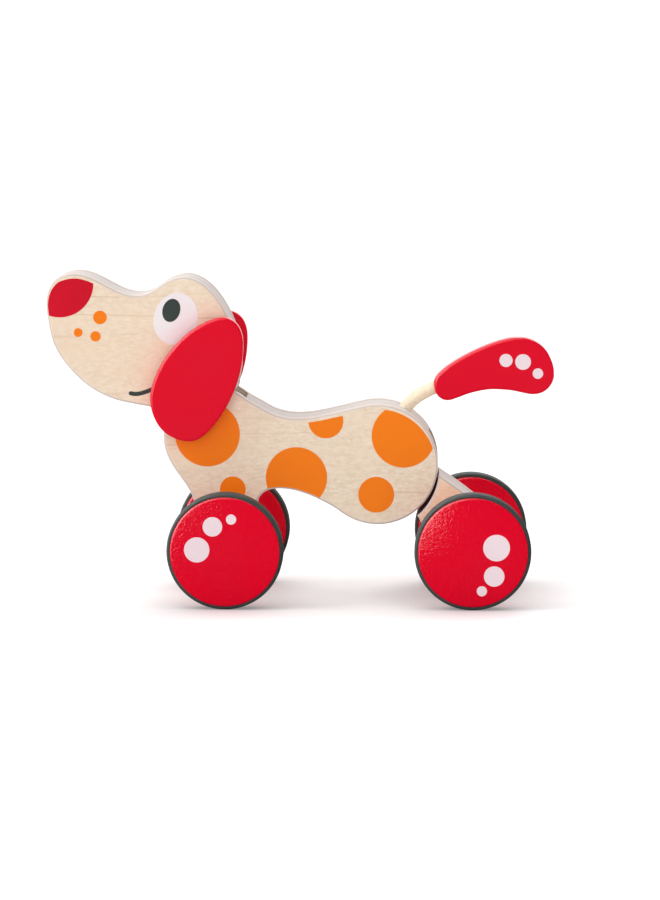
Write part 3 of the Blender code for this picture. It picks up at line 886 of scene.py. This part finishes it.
def make_wheels(end):
    """A pair of lacquered wheels with rubber tyres, their axle and its spacers."""
    body = f"{end}_wheels"
    centre = joint_axis(f"{end}_wheel_spin")
    bore = size_of(f"{end}_axle")[0] + BORE_GAP
    for hand, side in SIDES:
        wheel = f"{end}_wheel_{hand}"
        radius, width = size_of(wheel)
        seat = radius - GROOVE_DEPTH
        turned(f"{end}_{hand}_wheel", wheel, side,
               [(0, width - WHEEL_SINK, 0), (radius, width - WHEEL_SINK, WHEEL_ROUND),
                (radius, width - TYRE_LIP, LIP_ROUND), (seat, width - TYRE_LIP, GROOVE_ROUND),
                (seat, TYRE_LIP, GROOVE_ROUND), (radius, TYRE_LIP, GROOVE_ROUND),
                (radius, 0, WHEEL_ROUND), (bore, 0, HUB_ROUNDS[0]),
                (bore, HUB_DEPTH, HUB_ROUNDS[1]), (0, HUB_DEPTH, 0)],
               WHEEL_STEPS, LOOKS[f"{end}_wheel"], body)
        tyre = f"{end}_tyre_{hand}"
        radius, width = size_of(tyre)
        turned(f"{end}_{hand}_tyre", tyre, side,
               ring_profile(seat + BORE_GAP, radius, width, TYRE_ROUND),
               WHEEL_STEPS, LOOKS["rubber"], body)
        spacer = f"{end}_spacer_{hand}"
        radius, length = size_of(spacer)
        turned(f"{end}_{hand}_spacer", spacer, side, ring_profile(bore, radius, length, SPACER_ROUND),
               SMALL_STEPS, LOOKS["dowel"], body)
        print_patches(f"{end}_{hand}_dots", spot_shapes(centre, WHEEL_DOTS[end], LOOKS["white"]),
                      outer_face(wheel, side) - side * WHEEL_SINK * MM, side, body)
    make_dowel(f"{end}_axle", body)


# ---------------------------------------------------------------- floor, light and camera

def make_floor():
    """A wide pale floor, round so that it looks the same from every side, with contact shade painted
    into its colour round the wheels.
    """
    look = Look("pale_floor", FLOOR_WHITE, FLOOR_GLOSS, Emission_Color=(1, 1, 1, 1),
                Emission_Strength=FLOOR_GLOW)
    # Painted contact shade: the floor's colour darkens where ambient occlusion finds the wheels close.
    near = look.add("ShaderNodeAmbientOcclusion", {"samples": CONTACT_SAMPLES}, Distance=CONTACT_REACH)
    look.paint(look.blend(look.span(near.outputs["AO"], *CONTACT_RANGE), CONTACT_SHADE, FLOOR_WHITE))
    work = bmesh.new()
    bmesh.ops.create_circle(work, cap_ends=True, segments=FLOOR_STEPS, radius=FLOOR_RADIUS)
    floor = new_piece("floor", work, [look.material])
    floor.visible_glossy = False


def make_sun(name, source, angle, strength):
    """Parallel light from a direction; its angle sets how soft its shadows are."""
    data = bpy.data.lights.new(name, "SUN")
    data.angle = radians(angle)
    data.energy = strength
    lamp = bpy.data.objects.new(name, data)
    lamp.rotation_euler = Vector(source).to_track_quat("Z", "Y").to_euler()
    bpy.context.scene.collection.objects.link(lamp)


def make_world():
    """A soft even surround.  The camera sees it as plain white, and glossy surfaces see a dark
    room with three bright screens."""
    world = bpy.data.worlds.new("surround")
    world.use_nodes = True
    nodes, links = world.node_tree.nodes, world.node_tree.links
    paths = nodes.new("ShaderNodeLightPath")

    def glow(strength):
        made = nodes.new("ShaderNodeBackground")
        made.inputs["Color"].default_value = (1, 1, 1, 1)
        made.inputs["Strength"].default_value = strength
        return made

    def choice(test, otherwise, chosen):
        made = nodes.new("ShaderNodeMixShader")
        links.new(paths.outputs[test], made.inputs[0])
        links.new(otherwise, made.inputs[1])
        links.new(chosen, made.inputs[2])
        return made.outputs[0]

    def mirrored_screen(direction, start, full, strength):
        toward = nodes.new("ShaderNodeVectorMath")
        toward.operation = "DOT_PRODUCT"
        links.new(nodes.new("ShaderNodeTexCoord").outputs["Generated"], toward.inputs[0])
        toward.inputs[1].default_value = Vector(direction).normalized()
        ramp = nodes.new("ShaderNodeMapRange")
        links.new(toward.outputs["Value"], ramp.inputs["Value"])
        ramp.inputs["From Min"].default_value = start
        ramp.inputs["From Max"].default_value = full
        ramp.inputs["To Max"].default_value = strength
        made = glow(strength)
        links.new(ramp.outputs["Result"], made.inputs["Strength"])
        return made.outputs[0]

    def both(one, other):
        made = nodes.new("ShaderNodeAddShader")
        links.new(one, made.inputs[0])
        links.new(other, made.inputs[1])
        return made.outputs[0]

    screens = reduce(both, [mirrored_screen(*screen) for screen in SCREENS])
    mirrored_room = choice("Is Glossy Ray", glow(SURROUND).outputs[0], screens)
    seen = choice("Is Camera Ray", mirrored_room, glow(BACKDROP).outputs[0])
    nodes.remove(nodes["Background"])
    links.new(seen, nodes["World Output"].inputs["Surface"])
    bpy.context.scene.world = world


def make_camera():
    """A long lens a little above the toy, just right of its middle."""
    data = bpy.data.cameras.new("camera")
    data.lens = CAMERA_LENS
    camera = bpy.data.objects.new("camera", data)
    camera.location = CAMERA_PLACE
    camera.rotation_euler = Euler((radians(90 - CAMERA_PITCH), 0, radians(CAMERA_YAW)))
    bpy.context.scene.collection.objects.link(camera)
    bpy.context.scene.camera = camera


def make_looks():
    """Every material of the dog, by name."""
    looks = {
        "face_wood": face_wood("maple_face", radians(BODY_GRAIN)),
        "leg_wood": face_wood("leg_maple", radians(LEG_GRAIN), LEG_TINT_AND_PAINTED_LIGHT),
        "dowel": dowel_wood(),
        "rubber": rubber(),
        "red": lacquer("red_lacquer", RED, RED_DEEP),
        "ear_edge": lacquer("ear_edge_lacquer", RED, RED_DEEP, glow=EAR_GLOW),
        "eye_white": lacquer("eye_print", EYE_WHITE, WHITE, PRINT_GLOSS),
        "nose_red": lacquer("nose_print", NOSE_RED, RED_DEEP, PRINT_GLOSS),
        "orange": lacquer("orange_print", ORANGE, ORANGE_DEEP, PRINT_GLOSS),
        "white": lacquer("white_print", WHITE, WHITE_DEEP, PRINT_GLOSS),
        "black": lacquer("black_print", BLACK, BLACK_DEEP, PRINT_GLOSS),
    }
    hip_seat = (offsets(joint_axis("hip_fold"), [SEAT_MIDDLE])[0], SEAT_RADIUS * MM)
    for part, seat in (("body", None), ("head", None), ("leg", hip_seat)):
        looks[f"{part}_board_edge"] = ply_edge(f"{part}_ply", BOARD_LIGHT, BOARD_DEEP, BOARD_PLY,
                                               EDGE_MARKS, seat)
        looks[f"{part}_core_edge"] = ply_edge(f"{part}_core_ply", CORE_LIGHT, CORE_DEEP, CORE_PLY,
                                              seat=seat)
    for end in ("front", "rear"):
        dome = (joint_axis(f"{end}_wheel_spin"), WHEEL_DOME[end])
        looks[f"{end}_wheel"] = lacquer(f"{end}_wheel_lacquer", RED, RED_DEEP, WHEEL_GLOSS,
                                        WHEEL_PEBBLE, dome)
    return looks


LOOKS = make_looks()
make_camera()
make_body()
make_head()
make_ears()
make_rear_leg()
make_wheels("front")
make_wheels("rear")
make_floor()
make_world()
make_sun("key", *KEY)
make_sun("back", *BACK)
bpy.context.scene.view_settings.view_transform = "Standard"
